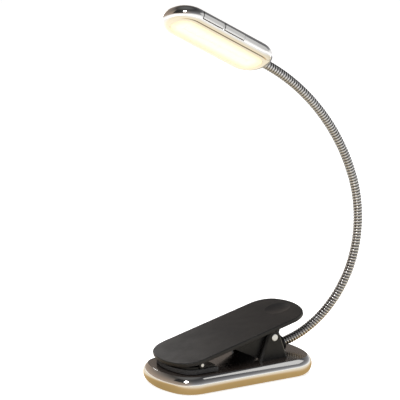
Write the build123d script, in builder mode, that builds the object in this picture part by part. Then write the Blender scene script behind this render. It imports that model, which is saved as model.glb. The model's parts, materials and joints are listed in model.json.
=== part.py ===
from build123d import *
from math import atan2, cos, degrees, radians, sin, sqrt, tan
import os

# Clip-on reading lamp: weighted base with a spring clamp, gooseneck and light head.
# Millimetres.  +Z is up and the origin is the middle of the base's underside.  X runs
# along the base: the clamp's jaw is at -X and the gooseneck leaves at +X.

os.makedirs("parts", exist_ok=True)

# ------------------------------------------------------------------ driving sizes
fit_gap = 0.1             # between fixed pieces that slip into each other
soft_gap = 0.3            # between the jaw and what it closes on
running_gap = 0.05        # radial, a pin in the piece that turns on it
fixed_pin_gap = 0.02      # radial, a pin or screw in the piece that holds it

# base
base_length = 88.0
base_width = 46.5
base_end_radius = 42.0    # the wide arc across each end
base_corner_radius = 14.0
base_height = 9.4
band_lift = 0.4           # the band's lower edge above the surface it stands on
band_bulge = 2.3          # how far the band's side swells past its inner wall
ledge_width = 1.2         # shelf inside the band, between cover and floor
cover_drop = 0.2          # cover's top below the band's rim
cover_thickness = 1.6
cover_edge = 0.3
floor_thickness = 1.2
pad_thickness = 0.6
pad_inset = 5.0
case_screw_out = (5.55, 3.75)  # out from the centre of each corner's arc
boss_radius = 2.1
case_screw_radius = 0.8
case_screw_head_radius = 1.6

battery_width = 26.0
battery_top_gap = 0.4     # below the bracket screws' heads
battery_corner = 1.0
battery_gap = 0.4         # from the front screw bosses
lead_room = 3.5           # between battery and board
tape_margin = 2.0
tape_thickness = 0.5
board_length = 26.0
board_rear_gap = 6.0      # from the base's end
board_side_gap = 1.9      # from the rear screw bosses
board_thickness = 1.0
board_lift = 0.4
standoff_radius = 1.2
standoff_inset_x = 3.0    # from the board's ends
standoff_inset_y = 2.0    # from the board's sides
# on the board: (x and y from its middle, length, width, height)
board_chips = [
    (-5.0, -4.0, 4.0, 4.0, 0.9),
    (-5.0, 4.5, 3.0, 3.0, 1.8),
    (2.0, 5.0, 1.6, 0.8, 0.6),
    (2.0, -5.5, 1.6, 0.8, 0.6),
]
light_chip_size = (1.6, 1.2, 1.3)
light_chip_inset = 2.0    # its middle from the board's rear end
lead_radius = 0.5
lead_spread = 2.0
lead_end = 2.0            # how far the leads lie on the board
usb_width = 8.94
usb_height = 3.2
usb_length = 7.3
usb_wall = 0.3
usb_recess = 0.5
usb_back = 1.0
tongue_length = 5.5
tongue_width = 6.7
tongue_thickness = 0.7
charge_light_radius = 0.7
charge_light_offset = 7.6
charge_light_recess = 1.1

# clamp lever: a flat paddle that rises towards the gooseneck
lever_end_margin = 3.65   # level distance from the base's ends
lever_side_margin = 3.55
lever_end_radius = 34.0
lever_corner_radius = 12.0
lever_front_rise = 5.21   # top face's front end above the cover
lever_pitch = 13.5        # degrees
lever_thickness = 2.2
lever_edge = 0.5
dimple_along = 31.0
dimple_radius = 6.75
dimple_depth = 0.7

# pivot
pin_x = 19.0
pin_drop = 5.7            # pin's middle below the lever's underside
pin_radius = 1.25
pin_head_overhang = 0.55
pin_head_height = 0.5
pin_head_edge = 0.25
post_inner_y = 11.2
post_thickness = 2.8
post_foot_front = 10.4
post_foot_rear = 27.2
post_top_radius = 3.9
post_chamfer = 0.9
post_screw_x = (15.4, 22.2)
small_screw_radius = 0.6
small_screw_head_radius = 1.4
small_screw_head_height = 1.1
small_screw_reach = 4.4
ear_gap = 0.3
ear_thickness = 2.3
ear_front_x = -10.0
ear_foot_front = 12.0
ear_foot_rear = 16.5
ear_foot_gap = 0.55
ear_boss_radius = 3.6
ear_waist = (3.6, -1.3)   # from the pin
ear_heel = (5.3, 2.3)

spring_radius = 3.3
spring_wire = 0.9
spring_pitch = 1.1
spring_turns = 9
lower_leg_dip = 30.0      # degrees below level
upper_leg_rise = 24.0     # degrees above level
lower_leg_gap = 0.25      # leg's tip above the cover
upper_leg_length = 9.0

# swivel jaw, hung from lugs under the lever's front
jaw_pin_back = 11.0       # behind the jaw's front
jaw_pin_drop = 1.845      # below the lever's underside
jaw_pin_radius = 0.8
lug_inset = 1.8           # lugs' inner faces from the jaw's sides
lug_thickness = 1.8
lug_radius = 1.75
barrel_radius = 1.5
barrel_gap = 0.25
jaw_front_margin = 7.0    # from the base's front
jaw_side_margin = 2.7     # from the lever's sides
jaw_length = 20.3
jaw_front_radius = 34.0
jaw_corner = 7.0
jaw_pad_edge = 0.4
lug_gap = 0.3             # between the lugs and the pad
jaw_plate_thickness = 1.1
jaw_plate_inset = 1.3

# gooseneck: a stub in the base, then five lengths, each one arc: (length, turn)
neck_radius = 2.4
neck_start_inset = 8.0    # first joint from the base's end
neck_rise = 2.04          # tube's underside above the cover at the first joint
neck_heading = 13.5       # degrees above level where it leaves the base
neck_arcs = [(30.5, 30.8), (39.5, 38.2), (33.7, 27.3), (32.9, 17.0), (51.8, 25.2)]
joint_gap = 0.1           # round ball in its dish
joint_setback = 1.6       # next length starts this far past the ball's centre
core_radius = 1.5
core_gap = 0.1
core_end_gap = 0.8
stub_length = 7.5
socket_wall = 1.6
socket_grip = 4.3
socket_tail = 4.5
socket_half_width = 3.2
socket_screw_back = 10.8  # ahead of the first joint
socket_screw_spread = 1.8
socket_screw_reach = 2.2

# head: same outline family as the base
head_length = 64.0
head_width = 25.0
head_end_radius = 18.0
head_corner_radius = 11.0
head_height = 7.4
head_roll = 26.0          # degrees, light tips towards -Y
rim_land = 0.2            # flat edge between the band's round side and its well
lip_width = 0.8           # lower lip that holds the lens
lip_thickness = 1.1
head_top_thickness = 1.2
head_top_drop = 0.1
lens_flange = 0.5
lens_recess = 0.1
led_board_room = 3.5      # between the well's wall and the light's board
led_board_thickness = 0.8
led_size = (2.2, 1.4, 0.6)
led_columns = 7
led_rows = 2
led_pitch_x = 6.0
led_pitch_y = 4.4
head_screw_x = 21.5
head_boss_radius = 1.4
head_screw_radius = 0.5
head_screw_head_radius = 1.0
head_screw_head_height = 0.5
head_screw_reach = 1.7

key_length = 12.6
key_low = -1.9
key_high = 1.5
key_proud = 0.25
key_clearance = 0.12
key_centres = (-13.2, 0.7)
key_flange_side = 0.35
key_flange_top = 2.2
key_flange_thickness = 0.6
key_travel = 0.35
plunger_length = 0.4
plunger_radius = 0.7
switch_length = 3.6
switch_depth = 1.2
switch_low = -1.4
switch_high = 1.6
switch_board_thickness = 0.6
switch_board_margin = 1.5

neck_seat_depth = 2.5     # how far the neck's tube sits into the head's end
spigot_radius = 1.4
spigot_length = 1.2
clip_gap = 0.3
clip_thickness = 0.6
clip_radius = 1.95
clip_mouth = 1.6

# ------------------------------------------------------------------ worked-out places
def corner_centre(shape):
    """Centre of a slab's corner arc, in the quarter where X and Y are positive."""
    length, width, end_radius, corner_radius = shape
    corner_y = width / 2 - corner_radius
    reach = sqrt((end_radius - corner_radius) ** 2 - corner_y**2)
    return length / 2 - end_radius + reach, corner_y


base_shape = (base_length, base_width, base_end_radius, base_corner_radius)
cover_top = base_height - cover_drop
cover_bottom = cover_top - cover_thickness
floor_top = pad_thickness + floor_thickness
ledge_top = cover_bottom - fit_gap
ledge_bottom = floor_top + fit_gap
band_middle = (base_height + band_lift) / 2
cover_inset = band_bulge + fit_gap
wall_inset = band_bulge + ledge_width
case_screw_x = corner_centre(base_shape)[0] + case_screw_out[0]
case_screw_y = corner_centre(base_shape)[1] + case_screw_out[1]

board_width = 2 * (case_screw_y - boss_radius - board_side_gap)
board_x = base_length / 2 - board_rear_gap - board_length / 2
board_start_x = board_x - board_length / 2
board_bottom = floor_top + board_lift
board_top = board_bottom + board_thickness
battery_front_x = boss_radius + battery_gap - case_screw_x
battery_rear_x = board_start_x - lead_room
battery_length = battery_rear_x - battery_front_x
battery_x = (battery_front_x + battery_rear_x) / 2
battery_bottom = floor_top + tape_thickness
battery_top = cover_bottom - small_screw_head_height - battery_top_gap
battery_height = battery_top - battery_bottom
light_chip_x = board_x + board_length / 2 - light_chip_inset
usb_end_x = base_length / 2 - usb_recess
usb_middle_z = board_top + usb_height / 2
charge_light_z = board_top + charge_light_radius + fit_gap

lever_length = base_length - 2 * lever_end_margin
lever_width = base_width - 2 * lever_side_margin
lever_front_z = cover_top + lever_front_rise
lever_height = lever_front_z + lever_length / 2 * tan(radians(lever_pitch))
lever_shape = (lever_length, lever_width, lever_end_radius, lever_corner_radius)
pitch_sin = sin(radians(lever_pitch))
pitch_cos = cos(radians(lever_pitch))
lever_top = Plane(
    origin=(0, 0, lever_height),
    x_dir=(pitch_cos, 0, pitch_sin),
    z_dir=(-pitch_sin, 0, pitch_cos),
)


def lever_z(x, depth):
    """Height of the lever at x, at a depth square below its top face."""
    return lever_height + x * tan(radians(lever_pitch)) - depth / pitch_cos


pin_z = lever_z(pin_x, lever_thickness) - pin_drop
pin_head_radius = pin_radius + pin_head_overhang
ear_outer_y = post_inner_y - ear_gap
post_outer_y = post_inner_y + post_thickness
post_middle_y = post_inner_y + post_thickness / 2
jaw_front_x = jaw_front_margin - base_length / 2
jaw_rear_x = jaw_front_x + jaw_length
jaw_half_width = lever_width / 2 - jaw_side_margin
jaw_pin_x = jaw_front_x + jaw_pin_back
lug_inner_y = jaw_half_width - lug_inset
jaw_pin_z = lever_z(jaw_pin_x, lever_thickness) - jaw_pin_drop
jaw_pad_bottom = cover_top + soft_gap
jaw_pad_top = jaw_pin_z - lug_radius - lug_gap

neck_start_x = base_length / 2 - neck_start_inset
socket_screw_x = neck_start_x - socket_screw_back
neck_start = (neck_start_x, cover_top + neck_radius + neck_rise)
socket_radius = neck_radius + socket_wall

head_shape = (head_length, head_width, head_end_radius, head_corner_radius)
head_half = head_height / 2
head_side = -head_width / 2
well_inset = head_half + rim_land
lip_inset = well_inset + lip_width
led_board_inset = well_inset + led_board_room
well_floor = lip_thickness - head_half
head_top_bottom = head_half - head_top_drop - head_top_thickness
key_flange_face = well_inset + fit_gap
switch_face = key_flange_face + key_flange_thickness + key_travel + plunger_length
switch_back = switch_face + switch_depth


# ------------------------------------------------------------------ shared outlines
def slab_lines(shape, inset):
    """The base's, lever's or head's outline, once round from the middle of its -Y side."""
    length, width, end_radius, corner_radius = shape
    end_x = length / 2 - end_radius
    corner_x, corner_y = corner_centre(shape)
    lean = degrees(atan2(corner_y, corner_x - end_x))
    side = width / 2 - inset
    Line((0, -side), (corner_x, -side))
    CenterArc((corner_x, -corner_y), corner_radius - inset, -90, 90 - lean)
    CenterArc((end_x, 0), end_radius - inset, -lean, 2 * lean)
    CenterArc((corner_x, corner_y), corner_radius - inset, lean, 90 - lean)
    Line((corner_x, side), (-corner_x, side))
    CenterArc((-corner_x, corner_y), corner_radius - inset, 90, 90 - lean)
    CenterArc((-end_x, 0), end_radius - inset, 180 - lean, 2 * lean)
    CenterArc((-corner_x, -corner_y), corner_radius - inset, 180 + lean, 90 - lean)
    Line((-corner_x, -side), (0, -side))


def slab(shape, inset=0.0, mode=Mode.ADD):
    """The outline as a face in the current sketch."""
    with BuildLine() as outline:
        slab_lines(shape, inset)
    make_face(outline.edges(), mode=mode)


def cross_plane(frame, x=0.0):
    """Plane across a slab at x, with the frame's Y as its X and the frame's Z as its Y."""
    return Plane(frame.origin + frame.x_dir * x, x_dir=frame.y_dir, z_dir=frame.x_dir)


def save(piece, name):
    """Label a finished piece and write its STEP file."""
    piece.part.label = name
    export_step(piece.part, f"parts/{name}.step")


# ------------------------------------------------------------------ base case
with BuildPart() as base_band:
    with BuildLine() as band_path:
        slab_lines(base_shape, band_bulge)
    inner_wall = band_bulge - base_width / 2
    shelf = wall_inset - base_width / 2
    with BuildSketch(Plane.YZ):
        with BuildLine():
            Polyline(
                (inner_wall, base_height),
                (inner_wall, ledge_top),
                (shelf, ledge_top),
                (shelf, ledge_bottom),
                (inner_wall, ledge_bottom),
                (inner_wall, band_lift),
            )
            ThreePointArc(
                (inner_wall, band_lift),
                (-base_width / 2, band_middle),
                (inner_wall, base_height),
            )
        make_face()
    sweep(path=band_path.wires()[0])
    with BuildSketch(Plane.YZ.offset(base_length / 2 - 2 * wall_inset)):
        with Locations((0, usb_middle_z)):
            SlotOverall(usb_width + 2 * fit_gap, usb_height + 2 * fit_gap)
        with Locations((charge_light_offset, charge_light_z)):
            Circle(charge_light_radius + fit_gap / 2)
    extrude(amount=2 * wall_inset, mode=Mode.SUBTRACT)
save(base_band, "base_band")

with BuildPart() as top_cover:
    with BuildSketch(Plane.XY.offset(cover_bottom)):
        slab(base_shape, cover_inset)
    extrude(amount=cover_thickness)
    fillet(top_cover.faces().sort_by(Axis.Z)[-1].edges(), cover_edge)
    with BuildSketch(Plane.XY.offset(floor_top)):
        with GridLocations(2 * case_screw_x, 2 * case_screw_y, 2, 2):
            Circle(boss_radius)
            Circle(case_screw_radius + fixed_pin_gap, mode=Mode.SUBTRACT)
    extrude(amount=cover_bottom - floor_top)
    with BuildSketch(Plane.XY.offset(cover_bottom)):
        for x in post_screw_x:
            with GridLocations(0, 2 * post_middle_y, 1, 2):
                with Locations((x, 0)):
                    Circle(small_screw_radius + fit_gap)
        with Locations(*[(socket_screw_x, side * socket_screw_spread) for side in (-1, 1)]):
            Circle(small_screw_radius + fit_gap)
    extrude(amount=cover_thickness, mode=Mode.SUBTRACT)
save(top_cover, "top_cover")

with BuildPart() as bottom_plate:
    with BuildSketch(Plane.XY.offset(pad_thickness)):
        slab(base_shape, cover_inset)
    extrude(amount=floor_thickness)
    with BuildSketch(Plane.XY.offset(floor_top)):
        with Locations((board_x, 0)):
            with GridLocations(
                board_length - 2 * standoff_inset_x,
                board_width - 2 * standoff_inset_y,
                2,
                2,
            ):
                Circle(standoff_radius)
    extrude(amount=board_lift)
    with Locations(Plane(origin=(0, 0, pad_thickness), x_dir=(1, 0, 0), z_dir=(0, 0, -1))):
        with GridLocations(2 * case_screw_x, 2 * case_screw_y, 2, 2):
            CounterSinkHole(
                case_screw_radius + fit_gap, case_screw_head_radius + fit_gap, depth=floor_thickness
            )
save(bottom_plate, "bottom_plate")

with BuildPart() as case_screws:
    screw_length = cover_bottom - pad_thickness - fit_gap
    with Locations((0, 0, pad_thickness)):
        with GridLocations(2 * case_screw_x, 2 * case_screw_y, 2, 2):
            Cylinder(
                case_screw_radius, screw_length, align=(Align.CENTER, Align.CENTER, Align.MIN)
            )
            Cone(
                case_screw_head_radius,
                case_screw_radius,
                case_screw_head_radius - case_screw_radius,
                align=(Align.CENTER, Align.CENTER, Align.MIN),
            )
save(case_screws, "case_screws")

with BuildPart() as foot_pad:
    with BuildSketch():
        slab(base_shape, pad_inset)
    extrude(amount=pad_thickness)
save(foot_pad, "foot_pad")

# ------------------------------------------------------------------ power and charging
with BuildPart() as battery_tape:
    with Locations((battery_x, 0, floor_top)):
        Box(
            battery_length - 2 * tape_margin,
            battery_width - 2 * tape_margin,
            tape_thickness,
            align=(Align.CENTER, Align.CENTER, Align.MIN),
        )
save(battery_tape, "battery_tape")

with BuildPart() as battery:
    with Locations((battery_x, 0, battery_bottom)):
        Box(
            battery_length,
            battery_width,
            battery_height,
            align=(Align.CENTER, Align.CENTER, Align.MIN),
        )
    fillet(battery.edges().filter_by(Axis.X), battery_corner)
save(battery, "battery")

with BuildPart() as battery_leads:
    with BuildSketch(Plane.YZ.offset(battery_rear_x)):
        with GridLocations(2 * lead_spread, 0, 2, 1):
            with Locations((0, board_top + lead_radius)):
                Circle(lead_radius)
    extrude(amount=lead_room + lead_end)
save(battery_leads, "battery_leads")

with BuildPart() as control_board:
    with Locations((board_x, 0, board_bottom)):
        Box(
            board_length,
            board_width,
            board_thickness,
            align=(Align.CENTER, Align.CENTER, Align.MIN),
        )
save(control_board, "control_board")

with BuildPart() as board_parts:
    for x, y, length, width, height in board_chips:
        with Locations((board_x + x, y, board_top)):
            Box(length, width, height, align=(Align.CENTER, Align.CENTER, Align.MIN))
    with Locations((light_chip_x, charge_light_offset, board_top)):
        Box(*light_chip_size, align=(Align.CENTER, Align.CENTER, Align.MIN))
save(board_parts, "board_parts")

with BuildPart() as usb_shell:
    with BuildSketch(Plane.YZ.offset(usb_end_x - usb_length)):
        with Locations((0, usb_middle_z)):
            SlotOverall(usb_width, usb_height)
    extrude(amount=usb_length)
    with BuildSketch(Plane.YZ.offset(usb_end_x)):
        with Locations((0, usb_middle_z)):
            SlotOverall(usb_width - 2 * usb_wall, usb_height - 2 * usb_wall)
    extrude(amount=usb_back - usb_length, mode=Mode.SUBTRACT)
save(usb_shell, "usb_shell")

with BuildPart() as usb_tongue:
    with Locations((usb_end_x - usb_length + usb_back, 0, usb_middle_z)):
        Box(
            tongue_length,
            tongue_width,
            tongue_thickness,
            align=(Align.MIN, Align.CENTER, Align.CENTER),
        )
save(usb_tongue, "usb_tongue")

light_pipe_start = light_chip_x + light_chip_size[0] / 2 + fit_gap
with BuildPart() as charge_light:
    with BuildSketch(Plane.YZ.offset(light_pipe_start)):
        with Locations((charge_light_offset, charge_light_z)):
            Circle(charge_light_radius)
    extrude(amount=base_length / 2 - charge_light_recess - light_pipe_start)
save(charge_light, "charge_light")


# ------------------------------------------------------------------ posts and main pin
def post_face():
    """Tapered post with a rounded top about the pin, in X and Z."""
    with BuildLine() as outline:
        base_front = (post_foot_front, cover_top)
        base_rear = (post_foot_rear, cover_top)
        reach_front = sqrt((pin_x - base_front[0]) ** 2 + (pin_z - cover_top) ** 2)
        reach_rear = sqrt((pin_x - base_rear[0]) ** 2 + (pin_z - cover_top) ** 2)
        front_sight = atan2(cover_top - pin_z, base_front[0] - pin_x)
        rear_sight = atan2(cover_top - pin_z, base_rear[0] - pin_x)
        front_touch = front_sight - radians(90) + atan2(
            post_top_radius, sqrt(reach_front**2 - post_top_radius**2)
        )
        rear_touch = rear_sight + radians(90) - atan2(
            post_top_radius, sqrt(reach_rear**2 - post_top_radius**2)
        )
        front_top = (
            pin_x + post_top_radius * cos(front_touch),
            pin_z + post_top_radius * sin(front_touch),
        )
        rear_top = (
            pin_x + post_top_radius * cos(rear_touch),
            pin_z + post_top_radius * sin(rear_touch),
        )
        Polyline(front_top, base_front, base_rear, rear_top)
        ThreePointArc(rear_top, (pin_x, pin_z + post_top_radius), front_top)
    make_face(outline.edges())


for side, name in ((1, "post_near"), (-1, "post_far")):
    with BuildPart() as post:
        with BuildSketch(Plane.XZ.offset(side * post_inner_y)):
            post_face()
        extrude(amount=side * post_thickness)
        outer_face = post.faces().sort_by(Axis.Y)[0 if side > 0 else -1]
        chamfer(outer_face.edges().filter_by(GeomType.LINE).sort_by(Axis.X)[0], post_chamfer)
        with BuildSketch(Plane.XZ.offset(side * post_inner_y)):
            with Locations((pin_x, pin_z)):
                Circle(pin_radius + fixed_pin_gap)
        extrude(amount=side * post_thickness, mode=Mode.SUBTRACT)
        with BuildSketch(Plane.XY.offset(cover_top)):
            with Locations(*[(x, -side * post_middle_y) for x in post_screw_x]):
                Circle(small_screw_radius + fixed_pin_gap)
        extrude(amount=small_screw_reach + fit_gap, mode=Mode.SUBTRACT)
    save(post, name)

bracket_screw_spots = [
    (x, side * post_middle_y, small_screw_reach) for x in post_screw_x for side in (-1, 1)
]
bracket_screw_spots += [
    (socket_screw_x, side * socket_screw_spread, socket_screw_reach) for side in (-1, 1)
]
with BuildPart() as bracket_screws:
    for x, y, reach in bracket_screw_spots:
        with Locations((x, y, cover_bottom)):
            Cylinder(
                small_screw_radius,
                cover_thickness + reach,
                align=(Align.CENTER, Align.CENTER, Align.MIN),
            )
            Cylinder(
                small_screw_head_radius,
                small_screw_head_height,
                align=(Align.CENTER, Align.CENTER, Align.MAX),
            )
save(bracket_screws, "bracket_screws")

with BuildPart() as main_pin:
    with BuildSketch(Plane.XZ.offset(-post_outer_y)):
        with Locations((pin_x, pin_z)):
            Circle(pin_radius)
    extrude(amount=2 * post_outer_y)
    for side in (-1, 1):
        with BuildSketch(Plane.XZ.offset(side * post_outer_y)):
            with Locations((pin_x, pin_z)):
                Circle(pin_head_radius)
        extrude(amount=side * pin_head_height)
    rims = main_pin.edges().filter_by(GeomType.CIRCLE).sort_by(Axis.Y)
    fillet([rims[0], rims[-1]], pin_head_edge)
save(main_pin, "main_pin")

# ------------------------------------------------------------------ clamp spring
coil_turns = spring_turns + (180 - lower_leg_dip - upper_leg_rise) / 360
coil_length = spring_pitch * coil_turns
lower_leg_drop = (spring_radius + spring_wire / 2) * cos(radians(lower_leg_dip)) + lower_leg_gap
lower_leg_length = (pin_z - cover_top - lower_leg_drop) / sin(radians(lower_leg_dip))
coil = Helix(
    pitch=spring_pitch,
    height=coil_length,
    radius=spring_radius,
    center=(pin_x, -coil_length / 2, pin_z),
    direction=(0, 1, 0),
)
coil_start = coil @ 0
start_angle = degrees(atan2(coil_start.Z - pin_z, coil_start.X - pin_x))
wanted_angle = -90 - lower_leg_dip
coil = coil.rotate(Axis((pin_x, 0, pin_z), (0, 1, 0)), start_angle - wanted_angle)
with BuildPart() as clamp_spring:
    with BuildLine() as spring_line:
        Line(coil @ 0 - (coil % 0) * lower_leg_length, coil @ 0)
        add(coil)
        Line(coil @ 1, coil @ 1 + (coil % 1) * upper_leg_length)
    with BuildSketch(Plane(spring_line.wires()[0] @ 0, z_dir=spring_line.wires()[0] % 0)):
        Circle(spring_wire / 2)
    sweep(path=spring_line.wires()[0])
save(clamp_spring, "clamp_spring")

# ------------------------------------------------------------------ clamp lever
with BuildPart() as clamp_lever:
    with BuildSketch(lever_top):
        slab(lever_shape)
    extrude(amount=-lever_thickness)
    square_up = Axis((0, 0, 0), lever_top.z_dir)
    fillet(clamp_lever.faces().sort_by(square_up)[-1].edges(), lever_edge)
    fillet(clamp_lever.faces().sort_by(square_up)[0].edges(), lever_edge)
    middle = lever_thickness / 2
    ear_heel_x = pin_x + ear_heel[0]
    for side in (-1, 1):
        with BuildSketch(Plane.XZ.offset(side * (ear_outer_y - ear_thickness))):
            Polygon(
                (ear_front_x, lever_z(ear_front_x, middle)),
                (ear_foot_front, cover_top + ear_foot_gap),
                (ear_foot_rear, cover_top + ear_foot_gap),
                (pin_x + ear_waist[0], pin_z + ear_waist[1]),
                (ear_heel_x, pin_z + ear_heel[1]),
                (ear_heel_x, lever_z(ear_heel_x, middle)),
                align=None,
            )
            with Locations((pin_x, pin_z)):
                Circle(ear_boss_radius)
        extrude(amount=side * ear_thickness)
        with BuildSketch(Plane.XZ.offset(side * lug_inner_y)):
            with Locations((jaw_pin_x, jaw_pin_z)):
                Circle(lug_radius)
            Polygon(
                (jaw_pin_x - lug_radius, jaw_pin_z),
                (jaw_pin_x + lug_radius, jaw_pin_z),
                (jaw_pin_x + lug_radius, lever_z(jaw_pin_x + lug_radius, middle)),
                (jaw_pin_x - lug_radius, lever_z(jaw_pin_x - lug_radius, middle)),
                align=None,
            )
        extrude(amount=side * lug_thickness)
    with BuildSketch(Plane.XZ.offset(-base_width / 2)):
        with Locations((pin_x, pin_z)):
            Circle(pin_radius + running_gap)
        with Locations((jaw_pin_x, jaw_pin_z)):
            Circle(jaw_pin_radius + fixed_pin_gap)
    extrude(amount=base_width, mode=Mode.SUBTRACT)
    dimple_ball = (dimple_radius**2 + dimple_depth**2) / (2 * dimple_depth)
    dimple_centre = lever_top.from_local_coords((dimple_along, 0, 0))
    with BuildSketch(Plane(dimple_centre, x_dir=lever_top.x_dir, z_dir=(0, -1, 0))):
        with BuildLine():
            Polyline(
                (0, -dimple_depth),
                (0, lever_edge),
                (dimple_radius, lever_edge),
                (dimple_radius, 0),
            )
            RadiusArc((dimple_radius, 0), (0, -dimple_depth), dimple_ball)
        make_face()
    revolve(axis=Axis(dimple_centre, lever_top.z_dir), mode=Mode.SUBTRACT)
save(clamp_lever, "clamp_lever")

lug_outer_y = lug_inner_y + lug_thickness
with BuildPart() as jaw_pin:
    with BuildSketch(Plane.XZ.offset(-lug_outer_y)):
        with Locations((jaw_pin_x, jaw_pin_z)):
            Circle(jaw_pin_radius)
    extrude(amount=2 * lug_outer_y)
save(jaw_pin, "jaw_pin")


# ------------------------------------------------------------------ swivel jaw
def jaw_face(inset):
    """Jaw in plan: a wide arc across its front, round front corners, a square rear."""
    half = jaw_half_width - inset
    front_centre_x = jaw_front_x + jaw_front_radius
    corner_y = jaw_half_width - jaw_corner
    corner_x = front_centre_x - sqrt((jaw_front_radius - jaw_corner) ** 2 - corner_y**2)
    lean = degrees(atan2(corner_y, front_centre_x - corner_x))
    rear_x = jaw_rear_x - inset
    with BuildLine() as outline:
        CenterArc((front_centre_x, 0), jaw_front_radius - inset, 180 - lean, 2 * lean)
        CenterArc((corner_x, -corner_y), jaw_corner - inset, 180 + lean, 90 - lean)
        Line((corner_x, -half), (rear_x, -half))
        Line((rear_x, -half), (rear_x, half))
        Line((rear_x, half), (corner_x, half))
        CenterArc((corner_x, corner_y), jaw_corner - inset, 90, 90 - lean)
    make_face(outline.edges())


with BuildPart() as jaw_pad:
    with BuildSketch(Plane.XY.offset(jaw_pad_bottom)):
        jaw_face(0.0)
    extrude(amount=jaw_pad_top - jaw_pad_bottom)
    fillet(jaw_pad.faces().sort_by(Axis.Z)[-1].edges(), jaw_pad_edge)
save(jaw_pad, "jaw_pad")

with BuildPart() as swivel_jaw:
    with BuildSketch(Plane.XY.offset(jaw_pad_top)):
        jaw_face(jaw_plate_inset)
    extrude(amount=jaw_plate_thickness)
    for side in (-1, 1):
        with BuildSketch(Plane.XY.offset(jaw_pad_top)):
            with Locations((jaw_pin_x, side * jaw_half_width)):
                Rectangle(2 * (lug_radius + soft_gap), 2 * (jaw_half_width - lug_inner_y + barrel_gap))
        extrude(amount=jaw_plate_thickness, mode=Mode.SUBTRACT)
    barrel_half = lug_inner_y - barrel_gap
    with BuildSketch(Plane.XZ.offset(-barrel_half)):
        with Locations((jaw_pin_x, jaw_pin_z)):
            Circle(barrel_radius)
        Polygon(
            (jaw_pin_x - barrel_radius, jaw_pin_z),
            (jaw_pin_x - barrel_radius, jaw_pad_top + jaw_plate_thickness / 2),
            (jaw_pin_x + barrel_radius, jaw_pad_top + jaw_plate_thickness / 2),
            (jaw_pin_x + barrel_radius, jaw_pin_z),
            align=None,
        )
    extrude(amount=2 * barrel_half)
    with BuildSketch(Plane.XZ.offset(-base_width / 2)):
        with Locations((jaw_pin_x, jaw_pin_z)):
            Circle(jaw_pin_radius + running_gap)
    extrude(amount=base_width, mode=Mode.SUBTRACT)
save(swivel_jaw, "swivel_jaw")

# ------------------------------------------------------------------ gooseneck
# (x, z, heading in degrees) where each length starts, and where the last one ends
neck_joints = [(*neck_start, neck_heading)]
for length, turn in neck_arcs:
    x, z, heading = neck_joints[-1]
    radius = length / radians(turn)
    next_heading = heading + turn
    x += radius * (sin(radians(next_heading)) - sin(radians(heading)))
    z -= radius * (cos(radians(next_heading)) - cos(radians(heading)))
    neck_joints.append((x, z, next_heading))


def heading_dir(heading):
    """Unit direction in X and Z at a heading above level."""
    return (cos(radians(heading)), 0, sin(radians(heading)))


def neck_tube(index, radius, start, stop, mode=Mode.ADD):
    """Round bar along one length of the neck, from start to stop along its line."""
    x, z, heading = neck_joints[index]
    length, turn = neck_arcs[index]
    bend = length / radians(turn)
    begin = heading + turn * start / length
    from_x = x + bend * (sin(radians(begin)) - sin(radians(heading)))
    from_z = z - bend * (cos(radians(begin)) - cos(radians(heading)))
    with BuildLine(Plane.XZ) as line:
        JernArc(
            start=(from_x, from_z),
            tangent=(cos(radians(begin)), sin(radians(begin))),
            radius=bend,
            arc_size=turn * (stop - start) / length,
        )
    with BuildSketch(Plane(origin=(from_x, 0, from_z), z_dir=heading_dir(begin))) as section:
        Circle(radius)
    sweep(section.sketch, path=line.wires()[0], mode=mode)


start_x, start_z = neck_start
stub_dir = heading_dir(neck_heading)


def along_stub(distance):
    """Plane across the neck's stub, at a distance back from the first joint."""
    origin = (start_x - distance * stub_dir[0], 0, start_z - distance * stub_dir[2])
    return Plane(origin=origin, z_dir=stub_dir)


with BuildPart() as neck_root:
    with BuildSketch(along_stub(stub_length)):
        Circle(neck_radius)
    extrude(amount=stub_length)
    with Locations(Plane(origin=(start_x, 0, start_z), z_dir=stub_dir)):
        Sphere(neck_radius)
save(neck_root, "neck_root")

socket_front = stub_length - socket_grip
with BuildPart() as neck_socket:
    with BuildSketch(along_stub(stub_length + socket_tail)):
        Circle(socket_radius)
    extrude(amount=socket_grip + socket_tail)
    mouth_x = start_x - socket_front * stub_dir[0]
    tail_x = start_x - (stub_length + socket_tail) * stub_dir[0]
    with BuildSketch(Plane.XY.offset(cover_top)):
        with Locations(((mouth_x + tail_x) / 2, 0)):
            Rectangle(mouth_x - tail_x, 2 * socket_half_width)
    extrude(amount=start_z - stub_length * stub_dir[2] - cover_top)
    split(bisect_by=Plane.XY.offset(cover_top), keep=Keep.TOP)
    with BuildSketch(along_stub(stub_length)):
        Circle(neck_radius + fixed_pin_gap)
    extrude(amount=stub_length, mode=Mode.SUBTRACT)
    with BuildSketch(Plane.XY.offset(cover_top)):
        with Locations(*[(socket_screw_x, side * socket_screw_spread) for side in (-1, 1)]):
            Circle(small_screw_radius + fixed_pin_gap)
    extrude(amount=socket_screw_reach + fit_gap, mode=Mode.SUBTRACT)
save(neck_socket, "neck_socket")

end_x, end_z, end_heading = neck_joints[-1]
end_dir = heading_dir(end_heading)
head_frame = Plane(
    origin=(end_x + head_length / 2 * end_dir[0], 0, end_z + head_length / 2 * end_dir[2]),
    x_dir=(-end_dir[0], 0, -end_dir[2]),
    z_dir=(
        end_dir[2] * cos(radians(head_roll)),
        sin(radians(head_roll)),
        -end_dir[0] * cos(radians(head_roll)),
    ),
)

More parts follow.
